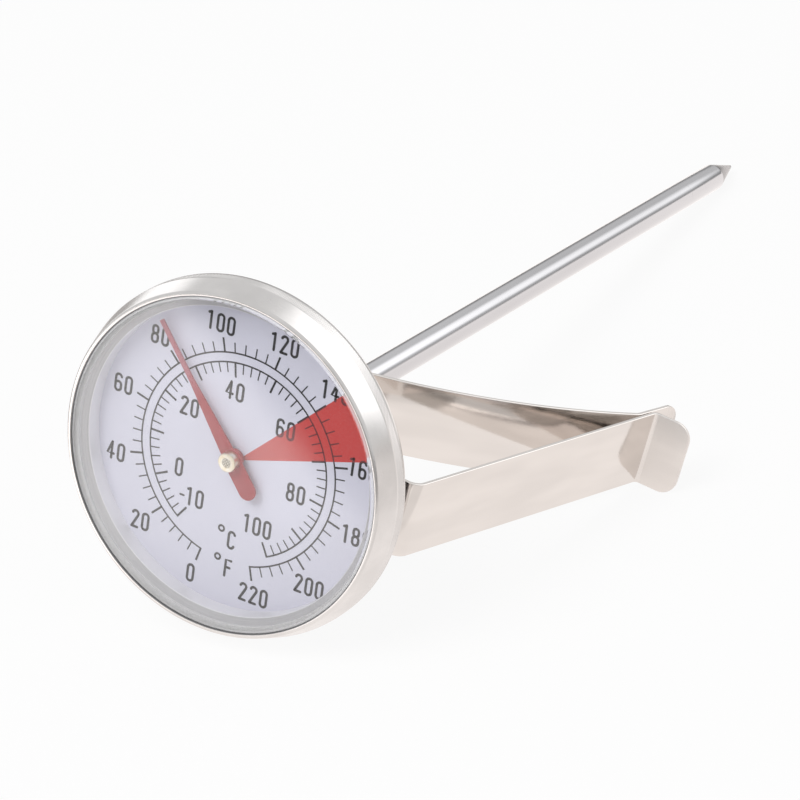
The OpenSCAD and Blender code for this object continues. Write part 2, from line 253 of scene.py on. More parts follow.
class Finish(Tree):
    """A material made of nodes."""

    def __init__(self, name):
        self.material = bpy.data.materials.new(name)
        self.material.use_nodes = True
        super().__init__(self.material.node_tree)
        self.nodes.nodes.clear()

    def place(self):
        """Place on the piece, in millimetres."""
        at = self.node("ShaderNodeTexCoord", output="Object")
        return self.node("ShaderNodeVectorMath", {"operation": "SCALE"},
                         {0: at, "Scale": 1 / MM})

    def radius(self):
        """Distance from the probe's axis, in millimetres."""
        x, _, z = self.split(self.place())
        return (x * x + z * z) ** 0.5

    def noise(self, vector, scale=1.0, detail=2.0, rough=0.5):
        return self.node("ShaderNodeTexNoise", {"noise_dimensions": "3D"},
                         {"Vector": vector, "Scale": scale, "Detail": detail,
                          "Roughness": rough})

    def colours(self, factor, first, second):
        made = self.node("ShaderNodeMix", {"data_type": "RGBA"},
                         {0: factor, 6: rgba(first), 7: rgba(second)})
        return Socket(self, made.socket.node.outputs[2])

    def bump(self, height, deep_mm, under=None):
        values = {"Strength": 1.0, "Distance": deep_mm * MM, "Height": height}
        if under:
            values["Normal"] = under
        return self.node("ShaderNodeBump", values=values)

    def surface(self, **values):
        """Ends the tree in one Principled shader; spaces in socket names are underscores."""
        named = {key.replace("_", " "): rgba(value) for key, value in values.items()}
        return self.close(self.node("ShaderNodeBsdfPrincipled", values=named))

    def close(self, shader):
        self.node("ShaderNodeOutputMaterial", values={"Surface": shader})
        return self.material


def rgba(colour):
    """A colour triple with its alpha; anything else as it is."""
    return (*colour, 1.0) if isinstance(colour, tuple) and len(colour) == 3 else colour


class Form(Tree):
    """A Geometry Nodes tree with named inputs of each kind and a finish."""

    def __init__(self, name, **inputs):
        self.group = bpy.data.node_groups.new(name, "GeometryNodeTree")
        super().__init__(self.group)
        self.group.interface.new_socket("Geometry", in_out="OUTPUT",
                                        socket_type="NodeSocketGeometry")
        for kind, labels in {**inputs, "Material": ["Finish"]}.items():
            for label in labels:
                self.group.interface.new_socket(label, in_out="INPUT",
                                                socket_type="NodeSocket" + kind)
        self.asked = self.nodes.nodes.new("NodeGroupInput")

    def given(self, label):
        return Socket(self, self.asked.outputs[label])

    def moved(self, geometry, place):
        return self.node("GeometryNodeSetPosition",
                         values={"Geometry": geometry, "Position": place})

    def points(self, count, place):
        """A row of points, each moved to its place."""
        return self.moved(self.node("GeometryNodeMeshLine", values={"Count": count}), place)

    def instances(self, points, shape, turn, size):
        facing = self.node("FunctionNodeEulerToRotation", values={0: turn})
        return self.node("GeometryNodeInstanceOnPoints",
                         values={"Points": points, "Instance": shape,
                                 "Rotation": facing, "Scale": size})

    def close(self, geometry):
        plain = self.node("GeometryNodeRealizeInstances", values={0: geometry})
        dressed = self.node("GeometryNodeSetMaterial",
                            values={"Geometry": plain, "Material": self.given("Finish")})
        self.node("NodeGroupOutput", values={0: dressed})

    def bake(self, name, **values):
        """The tree's result with these inputs, as a plain mesh piece."""
        piece = linked(name, bpy.data.meshes.new(name))
        modifier = piece.modifiers.new("form", "NODES")
        modifier.node_group = self.group
        for item in self.group.interface.items_tree:
            if item.in_out == "INPUT":
                modifier[item.identifier] = values[item.name]
        apply(piece)
        piece.data.name = name
        piece.data.materials.clear()
        piece.data.materials.append(values["Finish"])
        piece.data.polygons.foreach_set("material_index", [0] * len(piece.data.polygons))
        return piece


# --- meshes ---

def linked(name, data):
    piece = bpy.data.objects.new(name, data)
    bpy.context.scene.collection.objects.link(piece)
    return piece


def apply(piece):
    """Puts a piece's modifiers into its mesh."""
    graph = bpy.context.evaluated_depsgraph_get()
    mesh = bpy.data.meshes.new_from_object(piece.evaluated_get(graph), depsgraph=graph)
    piece.modifiers.clear()
    piece.data = mesh


def from_points(name, points, faces, material=None):
    """A mesh piece from points in millimetres."""
    mesh = bpy.data.meshes.new(name)
    mesh.from_pydata([[c * MM for c in p] for p in points], [], faces)
    if material:
        mesh.materials.append(material)
    return linked(name, mesh)


def outward(piece, merge_mm=0.001):
    """Merges doubles and turns every face outwards."""
    shape = bmesh.new()
    shape.from_mesh(piece.data)
    bmesh.ops.remove_doubles(shape, verts=shape.verts, dist=merge_mm * MM)
    bmesh.ops.recalc_face_normals(shape, faces=shape.faces)
    shape.to_mesh(piece.data)
    shape.free()


def smooth(piece, sharp_deg=35):
    piece.data.shade_smooth()
    piece.data.set_sharp_from_angle(angle=math.radians(sharp_deg))


def joined(name, pieces):
    """One piece from several that share their finishes."""
    mesh = bpy.data.meshes.new(name)
    shape = bmesh.new()
    for piece in pieces:
        shape.from_mesh(piece.data)
    shape.to_mesh(mesh)
    shape.free()
    for material in pieces[0].data.materials:
        mesh.materials.append(material)
    for piece in pieces:
        bpy.data.objects.remove(piece)
    return linked(name, mesh)


def arc(centre, r, first, last, steps=8):
    """Points of an arc in the plane of two coordinates, angles in degrees."""
    turns = [first + (last - first) * i / steps for i in range(steps + 1)]
    return [(centre[0] + r * cos(turn), centre[1] + r * sin(turn)) for turn in turns]


def turned_form():
    """Turns a profile of [radius, depth] points about the probe's axis."""
    form = Form("turned", Object=["Profile"], Int=["Points", "Facets"])
    grid = form.node("GeometryNodeMeshGrid",
                     values={"Size X": 1.0, "Size Y": 1.0, "Vertices X": form.given("Points"),
                             "Vertices Y": form.given("Facets") + 1})
    along, around, _ = form.split(form.node("GeometryNodeInputPosition"))
    profile = form.node("GeometryNodeObjectInfo", values={"Object": form.given("Profile")},
                        output="Geometry")
    drawn = form.node("GeometryNodeSampleIndex", {"data_type": "FLOAT_VECTOR"},
                      {"Geometry": profile, "Value": form.node("GeometryNodeInputPosition"),
                       "Index": ((along + 0.5) * (form.given("Points") - 1)).round()})
    radius, depth, _ = form.split(drawn)
    turn = (around + 0.5) * math.tau
    round_it = form.moved(grid, form.join(radius * turn.sin(), depth, radius * turn.cos()))
    form.close(form.node("GeometryNodeMergeByDistance",
                         values={"Geometry": round_it, "Distance": 0.0005 * MM}))
    return form


def turned(name, profile, body, slot, *nodes, facets=FACETS, sharp_deg=35):
    """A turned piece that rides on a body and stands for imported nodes."""
    outline = bpy.data.meshes.new(name + "_profile")
    outline.from_pydata([(r * MM, d * MM, 0) for r, d in profile], [], [])
    guide = linked(name + "_profile", outline)
    piece = TURNED.bake(name, Profile=guide, Points=len(profile), Facets=facets,
                        Finish=FINISHES[slot])
    bpy.data.objects.remove(guide)
    outward(piece)
    smooth(piece, sharp_deg)
    fit(piece, body, slot, *nodes)


def fit(piece, body, slot, *nodes):
    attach(piece, body)
    if nodes:
        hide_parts(*nodes)


# --- finishes ---

def turned_steel(name, tint, rough, lines=0.35, shade_line_r=0.0):
    """Steel spun or turned on the probe's axis: fine rings, faint handling marks.

    A shade-line radius paints a thin dark line of shade on the edge inside it, where the
    bezel's lip meets the lens."""
    f = Finish(name)
    at = f.place()
    x, y, z = f.split(at)
    radius = f.radius()
    turned_on = f.join(radius * 9.0 + x * 0.15, y * 9.0 + z * 0.15, x * 0.1)
    rings = f.noise(turned_on, 1.0, 4.0, 0.65)
    cloud = f.noise(at, 0.16, 3.0, 0.55)
    marks = f.between(f.noise(at, 1.9, 4.0, 0.7), 0.56, 0.74)
    colour = f.colours(f.between(cloud, 0.3, 0.7), tint, tuple(c * 0.9 for c in tint))
    # Painted shade: a thin dark line where the bezel's lip meets the lens
    if shade_line_r:
        colour = f.colours(f.between(radius, shade_line_r + 0.1, shade_line_r + 0.18, 0.75, 0.0), colour,
                           (0.10, 0.10, 0.11))
    return f.surface(Base_Color=colour, Metallic=1.0,
                     Roughness=rough + rings * 0.1 + marks * 0.06,
                     Normal=f.bump(rings, 0.0012 * lines))


def ring_satin():
    """Satin aluminium of the dial's ring, with painted shade that colours its flared front
    darker than its inner wall.
    """
    f = Finish("ring_satin")
    x, y, _ = f.split(f.place())
    radius = f.radius()
    lines = f.noise(f.join(radius * 8.0, y * 8.0, x * 0.2), 1.0, 3.0, 0.6)
    # Painted shade: the flared front is coloured darker than the inner wall, as it is lit less
    wall = f.between(radius, VIEW_R + 0.05, VIEW_R + 0.15, 1.0, 0.0)
    shaded_flare_tone = f.colours(wall, (0.50, 0.49, 0.50), (0.84, 0.83, 0.85))
    colour = f.colours(f.between(lines, 0.3, 0.7, 0.0, 0.2), shaded_flare_tone, (0.9, 0.9, 0.9))
    return f.surface(Base_Color=colour, Metallic=0.4, Roughness=0.36 + lines * 0.15,
                     Normal=f.bump(lines, 0.001))


def drawn_steel(name, tint, rough):
    """Steel polished lengthwise, with long streaks.

    The probe's colour is darkened with its depth as painted shade that dims its reflections,
    with a faint random cloud, and its point is ground rougher with its colour darkened as
    painted shade."""
    f = Finish(name)
    x, y, z = f.split(f.place())
    streaks = f.noise(f.join(x * 7.0, y * 0.12, z * 7.0), 1.0, 4.0, 0.6)
    cloud = f.noise(f.join(x * 0.6, y * 0.08, z * 0.6), 1.0, 2.0, 0.5)
    # Painted shade: colour darkened with depth; the cloud adds real random unevenness
    dull = f.between(y, SHADE_FROM, SHADE_TO) * 0.85 + f.between(cloud, 0.3, 0.7) * 0.15
    colour = f.colours(dull, tuple(c * 0.94 for c in tint), tuple(c * 0.77 for c in tint))
    # Painted shade on the point: darker colour; its extra roughness is the ground finish
    ground = f.between(y, CONE_AT - 0.1, CONE_AT + 0.1)
    colour = f.colours(ground, colour, (0.29, 0.285, 0.29))
    return f.surface(Base_Color=colour, Metallic=1.0,
                     Roughness=rough + streaks * 0.12 + ground * 0.12,
                     Normal=f.bump(streaks, 0.0015))


def rolled_steel(name, tint, rough):
    """Bright rolled strip: streaks along its own length, faint scuffs and duller lips."""
    f = Finish(name)
    along, across, _ = f.split(f.node("ShaderNodeUVMap", {"uv_map": "strip"}))
    rolled = f.join(along * 0.35 / MM, across * 14.0 / MM, 0.0)
    streaks = f.noise(rolled, 1.0, 4.0, 0.6)
    cloud = f.noise(f.join(along * 0.06 / MM, across * 0.25 / MM, 0.0), 1.0, 2.0, 0.5)
    at = f.place()
    scuffs = f.between(f.noise(at, 2.4, 5.0, 0.72), 0.6, 0.76)
    x, _, z = f.split(at)
    out = x - z * math.tan(math.radians(CLIP_TURN))
    lips = f.between(out, LIPS_FROM, LIPS_FROM + 0.8)
    colour = f.colours(f.between(cloud, 0.3, 0.7), tint, tuple(c * 0.92 for c in tint))
    return f.surface(Base_Color=colour, Metallic=1.0,
                     Roughness=rough + streaks * 0.05 + scuffs * 0.05 + lips * 0.3,
                     Normal=f.bump(streaks, 0.0014))


def brass(name, tint, rough, hatch=False):
    """Turned brass, with a cross-hatched middle on the pointer's cap, whose grooves are
    darkened by painted shade.
    """
    f = Finish(name)
    at = f.place()
    x, y, z = f.split(at)
    rings = f.noise(f.join(f.radius() * 22.0, y * 22.0, x * 0.4), 1.0, 3.0, 0.6)
    dull = f.between(f.noise(at, 1.1, 3.0, 0.6), 0.35, 0.7)
    colour = f.colours(dull, tint, (tint[0] * 0.86, tint[1] * 0.78, tint[2] * 0.62))
    normal = f.bump(rings, 0.0015)
    if hatch:
        wave = math.pi / HATCH_STEP
        ridges = ((x + z) * wave).sin().abs() * ((x - z) * wave).sin().abs()
        middle = f.radius().less(HATCH_R) * y.less(CAP_TOP + 0.1)
        normal = f.bump(ridges * middle, 0.06, under=normal)
        # Painted shade: the hatch's grooves are coloured dark
        colour = f.colours((1 - f.between(ridges, 0.05, 0.3)) * middle, colour,
                           (0.10, 0.085, 0.06))
    return f.surface(Base_Color=colour, Metallic=1.0, Roughness=rough + rings * 0.12,
                     Normal=normal)


def dial_paint():
    """Pale satin enamel with a faint orange peel."""
    f = Finish("dial_paint")
    at = f.place()
    peel = f.noise(at, 5.0, 2.0, 0.5)
    cloud = f.between(f.noise(at, 0.07, 2.0, 0.5), 0.3, 0.7)
    colour = f.colours(cloud, (0.70, 0.69, 0.79), (0.66, 0.65, 0.745))
    return f.surface(Base_Color=colour, Roughness=0.42 + peel * 0.1,
                     Normal=f.bump(peel, 0.004))


def black_ink():
    """Printed ink, a little uneven in its cover, that shows dark red through the sector."""
    f = Finish("black_ink")
    at = f.place()
    x, _, z = f.split(at)
    x, z = x - PRINT_OFF[0], z - PRINT_OFF[1]
    cover = f.noise(at, 6.0, 4.0, 0.65)
    colour = f.colours(f.between(cover, 0.35, 0.7), (0.012, 0.012, 0.014),
                       (0.03, 0.03, 0.034))
    first, last = (turn_of_c(reading) for reading in SECTOR_C)
    past_first = (z * sin(first) - x * cos(first)).less(0.0)
    before_last = (x * cos(last) - z * sin(last)).less(0.0)
    colour = f.colours(past_first * before_last, colour, (0.17, 0.03, 0.035))
    return f.surface(Base_Color=colour, Roughness=0.5 + cover * 0.12)


def sector_ink():
    """Red sector, paler towards the pointer's axis where the ink was laid thin."""
    f = Finish("sector_red")
    cover = f.noise(f.place(), 3.0, 4.0, 0.6)
    colour = f.colours(f.between(f.radius(), 2.0, 13.0), (0.57, 0.115, 0.11),
                       (0.61, 0.045, 0.042))
    uneven = f.colours(f.between(cover, 0.35, 0.7, 0.0, 0.35), colour, (0.62, 0.09, 0.085))
    return f.surface(Base_Color=uneven, Roughness=0.45 + cover * 0.1)


def red_paint():
    """Pointer's satin paint, worn in spots and paler pink towards the tip."""
    f = Finish("pointer_paint")
    at = f.place()
    grain = f.noise(at, 9.0, 3.0, 0.6)
    worn = f.between(f.noise(at, 1.4, 3.0, 0.6), 0.45, 0.75)
    colour = f.colours(f.between(f.radius(), 7.0, 13.0), (0.36, 0.028, 0.036),
                       (0.42, 0.14, 0.17))
    colour = f.colours(worn * 0.4, colour, (0.46, 0.08, 0.09))
    return f.surface(Base_Color=colour, Roughness=0.38 + grain * 0.12, Coat_Weight=0.15,
                     Normal=f.bump(grain, 0.003))


def gasket_rubber():
    f = Finish("gasket_rubber")
    grain = f.noise(f.place(), 7.0, 3.0, 0.6)
    colour = f.colours(f.between(grain, 0.35, 0.65), (0.72, 0.71, 0.71),
                       (0.612, 0.6035, 0.6035))
    return f.surface(Base_Color=colour, Roughness=0.6 + grain * 0.15,
                     Normal=f.bump(grain, 0.004))


def window_glass():
    """Clear lens glass with a ground bevel, that lets the lamps reach the dial."""
    f = Finish("lens_glass")
    at = f.place()
    smear = f.noise(at, 0.35, 4.0, 0.6)
    glass = f.node("ShaderNodeBsdfPrincipled",
                   values={"Base Color": rgba((0.985, 0.99, 0.995)), "IOR": 1.5,
                           "Transmission Weight": 1.0,
                           "Roughness": f.between(smear, 0.55, 0.8, 0.0, 0.02)})
    clear = f.node("ShaderNodeBsdfTransparent", values={"Color": rgba((0.97, 0.975, 0.98))})
    ground = f.node("ShaderNodeBsdfPrincipled",
                    values={"Base Color": rgba((0.93, 0.93, 0.94)), "Roughness": 0.35})
    flat_r = LENS_R - BEVEL_W
    bevel = f.between(f.radius(), flat_r + 0.04, flat_r + 0.09) * f.split(at)[1].less(BEVEL_H)
    edged = f.node("ShaderNodeMixShader", values={0: bevel * 0.45, 1: glass, 2: ground})
    lighting = f.node("ShaderNodeLightPath", output="Is Shadow Ray").most(
        f.node("ShaderNodeLightPath", output="Is Diffuse Ray"))
    return f.close(f.node("ShaderNodeMixShader", values={0: lighting, 1: edged, 2: clear}))


FINISHES = {
    "pan_steel": turned_steel("pan_satin", (0.66, 0.65, 0.635), 0.26, lines=0.8),
    "bezel_steel": turned_steel("bezel_polish", (0.82, 0.80, 0.79), 0.18,
                                shade_line_r=LENS_R - LIP_OVER),
    "lens_glass": window_glass(),
    "gasket_rubber": gasket_rubber(),
    "spacer_aluminium": ring_satin(),
    "dial_white": dial_paint(),
    "probe_steel": drawn_steel("probe_polish", (0.725, 0.72, 0.74), 0.08),
    "turned_brass": brass("brass_turned", (0.74, 0.58, 0.30), 0.24),
    "cap_brass": brass("cap_brass", (0.90, 0.86, 0.76), 0.32, hatch=True),
    "bimetal_strip": drawn_steel("bimetal_rolled", (0.5, 0.42, 0.34), 0.3),
    "spindle_steel": drawn_steel("spindle_ground", (0.62, 0.62, 0.62), 0.22),
    "pointer_red": red_paint(),
    "spring_steel": rolled_steel("clip_rolled", (0.83, 0.79, 0.76), 0.05),
}
BLACK_INK, SECTOR_INK = black_ink(), sector_ink()


def dress_nodes():
    """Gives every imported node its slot's finish."""
    for part in frame["record"]["subparts"]:
        for place in frame["nodes"][part["node"]].material_slots:
            place.material = FINISHES[part["material_slot"]]


# --- case ---

def bezel():
    """Pressed ring: lip over the lens, polished cone, band with a raised diamond knurl."""
    rear_r = REAR_R + SHEET_T
    band_r = RIM_R - KNURL_H
    band_end = BEZEL_BACK - rear_r
    band_start = band_end - BAND_W
    edge, nose = 0.25, 0.4  # roundings before the band and at the front
    gap = 0.03  # between the lip and the lens's bevel
    mouth_r = DRUM_R + 0.1
    lip_r = LENS_R - LIP_OVER
    lip_d = BEVEL_H * (BEVEL_W - LIP_OVER) / BEVEL_W - gap
    cone_a = -math.degrees(math.atan2(band_r - FRONT_R, band_start - LIP_SET - nose))
    profile = (
        [(lip_r, lip_d)]
        + arc((lip_r + nose / 2, LIP_SET + nose / 2), nose / 2, 180, 270, 6)
        + arc((FRONT_R - nose, LIP_SET + nose), nose, -90, cone_a, 10)
        + arc((band_r - edge, band_start - 0.1), edge, cone_a, 0, 5)
        + [(band_r, band_start), (band_r, band_end)]
        + arc((RIM_R - rear_r, band_end), rear_r - KNURL_H / 2, 0, 90, 8)
        + [(mouth_r, BEZEL_BACK), (mouth_r, LEDGE_BACK)]
        + arc((RIM_R - rear_r, band_end), REAR_R, 90, 0, 4)
        + [(RIM_R - SHEET_T, band_start + edge), (FRONT_R - SHEET_T, LENS_BACK),
           (FRONT_R - SHEET_T, BEVEL_H - gap), (lip_r, lip_d)])
    sunk, plain = 0.01, 0.05  # studs' feet in the band, and its plain edges
    knurl = KNURL.bake("bezel_knurl", **{
        "Radius": (band_r - sunk) * MM, "From depth": (band_start + plain) * MM,
        "Band width": (BAND_W - 2 * plain) * MM, "Around": KNURL_AROUND,
        "Rows": KNURL_ROWS, "Height": (KNURL_H + sunk) * MM,
        "Finish": FINISHES["bezel_steel"]})
    fit(knurl, "case", "bezel_steel")
    turned("bezel", profile, "case", "bezel_steel", "bezel_ring", sharp_deg=50)


def knurl_form():
    """Rows of flat-topped diamonds round a band, each row half a diamond on."""
    form = Form("knurl", Float=["Radius", "From depth", "Band width", "Height"],
                Int=["Around", "Rows"])
    around, rows = form.given("Around"), form.given("Rows")
    index = form.node("GeometryNodeInputIndex")
    row = ((index + 0.5) / around).floor()
    turn = (index - row * around + (row % 2) * 0.5) * math.tau / around
    step = form.given("Band width") / (rows + 1)
    radius = form.given("Radius")
    place = form.join(radius * turn.sin(), form.given("From depth") + step * (row + 1),
                      radius * turn.cos())
    stud = form.node("GeometryNodeMeshCone", {"fill_type": "NGON"},
                     {"Vertices": 4, "Radius Top": 0.34, "Radius Bottom": 1.0, "Depth": 1.0})
    half = radius * math.pi / around
    studs = form.instances(form.points(around * rows, place), stud, form.join(0.0, turn, 0.0),
                           form.join(half, step, form.given("Height")))
    form.close(studs)
    return form


def lens_pane():
    """Flat window with a bevelled edge; the eased corners keep the flats true."""
    ease = 0.05
    flat_r = LENS_R - BEVEL_W
    profile = [(0, 0), (flat_r - 2 * ease, 0), (flat_r - ease, 0),
               (flat_r + ease * 0.7, ease * 0.6),
               (LENS_R - ease * 0.7, BEVEL_H - ease * 0.6), (LENS_R, BEVEL_H + ease),
               (LENS_R, LENS_BACK - ease), (LENS_R - ease, LENS_BACK),
               (LENS_R - 2 * ease, LENS_BACK), (0, LENS_BACK)]
    turned("lens_pane", profile, "case", "lens_glass", "lens", sharp_deg=20)


def dial_ring():
    """Satin ring that holds the dial down: plain wall, eased corner and flared front."""
    seat_r = LENS_R - GASKET_W
    ease = 0.08
    profile = [(RING_R, RING_FRONT), (RING_R, DIAL_FACE), (VIEW_R, DIAL_FACE),
               (VIEW_R, RING_FRONT + FLARE + ease),
               (VIEW_R + ease * 0.4, RING_FRONT + FLARE - ease * 0.2),
               (seat_r - ease, RING_FRONT + 0.05), (seat_r, RING_FRONT), (RING_R, RING_FRONT)]
    turned("dial_ring", profile, "case", "spacer_aluminium", "spacer_ring", sharp_deg=25)


def pan():
    """Drawn pan with a ledge for the dial and a round-cornered drum at the back."""
    in_r, hole_r = PAN_R - PAN_T, STEM_R + SEAM
    corner = (DRUM_R - DRUM_ROUND, PAN_BACK - DRUM_ROUND)
    profile = (
        [(in_r, PAN_FRONT), (PAN_R, PAN_FRONT), (PAN_R, LEDGE_BACK), (DRUM_R, LEDGE_BACK)]
        + arc(corner, DRUM_ROUND, 0, 90, 12)
        + [(hole_r, PAN_BACK), (hole_r, PAN_BACK - PAN_T)]
        + arc(corner, DRUM_ROUND - PAN_T, 90, 0, 8)
        + [(DRUM_R - PAN_T, DIAL_BACK), (in_r, DIAL_BACK), (in_r, PAN_FRONT)])
    turned("drawn_pan", profile, "case", "pan_steel", "case_pan")


# --- dial print ---

def tick_form():
    """Marks along a scale, every few of them longer and bolder."""
    form = Form("ticks", Int=["Count", "Every"], Float=[
        "First turn", "Step turn", "Foot", "Major end", "Minor end", "Major line",
        "Minor line", "Depth"])
    index = form.node("GeometryNodeInputIndex")
    major = (index % form.given("Every")).less(0.5)
    turn = form.given("First turn") + index * form.given("Step turn")
    end = form.given("Minor end") + major * (form.given("Major end") - form.given("Minor end"))
    line = form.given("Minor line") \
        + major * (form.given("Major line") - form.given("Minor line"))
    foot = form.given("Foot")
    middle = (foot + end) * 0.5
    place = form.join(middle * turn.sin(), form.given("Depth"), middle * turn.cos())
    mark = form.node("GeometryNodeMeshGrid", values={"Size X": 1.0, "Size Y": 1.0,
                                                     "Vertices X": 2, "Vertices Y": 2})
    marks = form.instances(form.points(form.given("Count"), place), mark,
                           form.join(math.pi / 2, turn, 0.0),
                           form.join(line, (end - foot).abs(), 1.0))
    form.close(marks)
    return form


def ring_line(name, radius, line, first_deg, last_deg, depth, material, steps=180):
    """A printed arc, clockwise from 12 o'clock."""
    points, faces = [], []
    for i in range(steps + 1):
        turn = first_deg + (last_deg - first_deg) * i / steps
        for r in (radius - line / 2, radius + line / 2):
            points.append((r * sin(turn), depth, r * cos(turn)))
    for i in range(steps):
        faces.append((2 * i, 2 * i + 2, 2 * i + 3, 2 * i + 1))
    return from_points(name, points, faces, material)


def stroke(path, line, closed=False):
    """A ribbon along a path of (x, z) points with round ends, as points and faces."""
    count = len(path)
    points, faces = [], []
    for i, at in enumerate(path):
        before = path[i - 1] if i or closed else at
        after = path[(i + 1) % count] if i < count - 1 or closed else at
        way = (Vector(after) - Vector(before)).normalized()
        side = Vector((-way.y, way.x)) * line / 2
        points += [(at[0] + side.x, at[1] + side.y), (at[0] - side.x, at[1] - side.y)]
    for i in range(count if closed else count - 1):
        a, b = 2 * i, 2 * ((i + 1) % count)
        faces.append((a, a + 1, b + 1, b))
    if not closed:
        for at, nearby in ((path[0], path[1]), (path[-1], path[-2])):
            out = math.degrees(math.atan2(at[1] - nearby[1], at[0] - nearby[0]))
            first = len(points)
            cap = arc(at, line / 2, out - 90, out + 90, 6)
            points += cap
            faces.append(tuple(range(first, first + len(cap))))
    return points, faces


def figure(sign):
    """Strokes of one sign, as (path, closed), centred on its own middle."""
    w, h = FIGURE_W / 2, FIGURE_H / 2
    top, foot = h - w, w - h
    oval = arc((0, top), w, 0, 180, 12) + arc((0, foot), w, 180, 360, 12)
    if sign == "0":
        return [(oval, True)]
    if sign == "1":
        return [([(0.1, -h), (0.1, h)], False), ([(-0.24, h - 0.16), (0.08, h - 0.02)], False)]
    if sign == "2":
        bowl = arc((0, top), w, 165, -28, 14)
        return [(bowl + [(-w, -h)], False), ([(-w, -h), (w, -h)], False)]
    if sign == "4":
        return [([(0.14, h), (-w - 0.03, -h * 0.42), (w + 0.05, -h * 0.42)], False),
                ([(0.14, h), (0.14, -h)], False)]
    if sign == "6":
        waist = -h * 0.05
        return [(arc((0, top), w, 15, 180, 12) + arc((0, foot), w, 180, 360, 12)
                 + arc((0, waist - w * 0.6), w, 0, 150, 10), False)]
    if sign == "8":
        upper = w * 0.88
        waist = h * 0.06
        return [(arc((0, h - upper), upper, 0, 180, 12)
                 + arc((0, waist + upper), upper, 180, 360, 12), True),
                (arc((0, waist - w), w, 0, 180, 12) + arc((0, foot), w, 180, 360, 12), True)]
    if sign == "C":
        return [(arc((0, top), w, 12, 180, 12) + arc((0, foot), w, 180, 348, 12), False)]
    if sign == "F":
        return [([(-w * 0.8, -h), (-w * 0.8, h), (w, h)], False),
                ([(-w * 0.8, h * 0.1), (w * 0.7, h * 0.1)], False)]
    if sign == "degree":
        return [(arc((0, 0), 0.36, 0, 342, 19), True)]
    return [([(-0.25, 0), (0.25, 0)], False)]  # minus


def print_signs(name, signs, depth, material):
    """One mesh of all the signs, each (sign, x, z)."""
    points, faces = [], []
    for sign, x, z in signs:
        line = FIGURE_LINE * (0.8 if sign in ("degree", "minus") else 1)
        for path, closed in figure(sign):
            new_points, new_faces = stroke(path, line, closed)
            first = len(points)
            points += [(x + a, depth, z + b) for a, b in new_points]
            faces += [tuple(first + i for i in face) for face in new_faces]
    return from_points(name, points, faces, material)


def number_signs(number, x, z):
    """The figures of one number, centred on a place."""
    digits = str(abs(number))
    start = x - FIGURE_STEP * (len(digits) - 1) / 2
    signs = [(digit, start + FIGURE_STEP * i, z) for i, digit in enumerate(digits)]
    if number < 0:
        signs.append(("minus", x + MINUS_OFF[0], z + MINUS_OFF[1]))
    return signs


def dial_print():
    """Two scales, their figures and the red sector, as thin films on the dial."""
    depth = DIAL_FACE - PRINT_LIFT
    signs = []
    for readings, turn_of, radius, (x, z), nudges in (
            (range(0, 221, 20), turn_of_f, F_FIGURES_R, F_FIGURES_OFF, F_NUDGE),
            ((-10, *range(0, 101, 20)), turn_of_c, C_FIGURES_R, C_FIGURES_OFF, C_NUDGE)):
        for reading in readings:
            turn, (right, up) = turn_of(reading), nudges.get(reading, (0, 0))
            signs += number_signs(reading, radius * sin(turn) + x + right,
                                  radius * cos(turn) + z + up)
    for sign, x, z in UNIT_SIGNS:
        signs += [(sign, x, z), ("degree", x + DEGREE_OFF[0], z + DEGREE_OFF[1])]
    scales = []
    for ring, major, minor, turn_of, first, last, step in (
            (F_RING, F_MAJOR, F_MINOR, turn_of_f, 0, 220, 4),
            (C_RING, C_MAJOR, C_MINOR, turn_of_c, -10, 100, 2)):
        scales.append(TICKS.bake("ticks", **{
            "Count": (last - first) // step + 1, "Every": 5,
            "First turn": math.radians(turn_of(first)),
            "Step turn": math.radians(turn_of(first + step) - turn_of(first)),
            "Foot": ring * MM, "Major end": major * MM, "Minor end": minor * MM,
            "Major line": MAJOR_LINE * MM, "Minor line": MINOR_LINE * MM,
            "Depth": depth * MM, "Finish": BLACK_INK}))
        half_line = math.degrees(MAJOR_LINE / 2 / ring)
        scales.append(ring_line("scale_ring", ring, RING_LINE, turn_of(first) - half_line,
                                turn_of(last) + half_line, depth, BLACK_INK))
    print_off = Matrix.Translation((PRINT_OFF[0] * MM, 0, PRINT_OFF[1] * MM))
    for piece in scales:
        piece.data.transform(print_off)
    scales.append(print_signs("figures", signs, depth, BLACK_INK))
    fit(joined("dial_print", scales), "case", "dial_white")
    sector = ring_line("red_sector", (SECTOR_IN + SECTOR_OUT) / 2, SECTOR_OUT - SECTOR_IN,
                       *(turn_of_c(reading) for reading in SECTOR_C),
                       DIAL_FACE - PRINT_LIFT / 2, SECTOR_INK, steps=40)
    sector.data.transform(print_off)
    fit(sector, "case", "dial_white")


# --- pointer ---

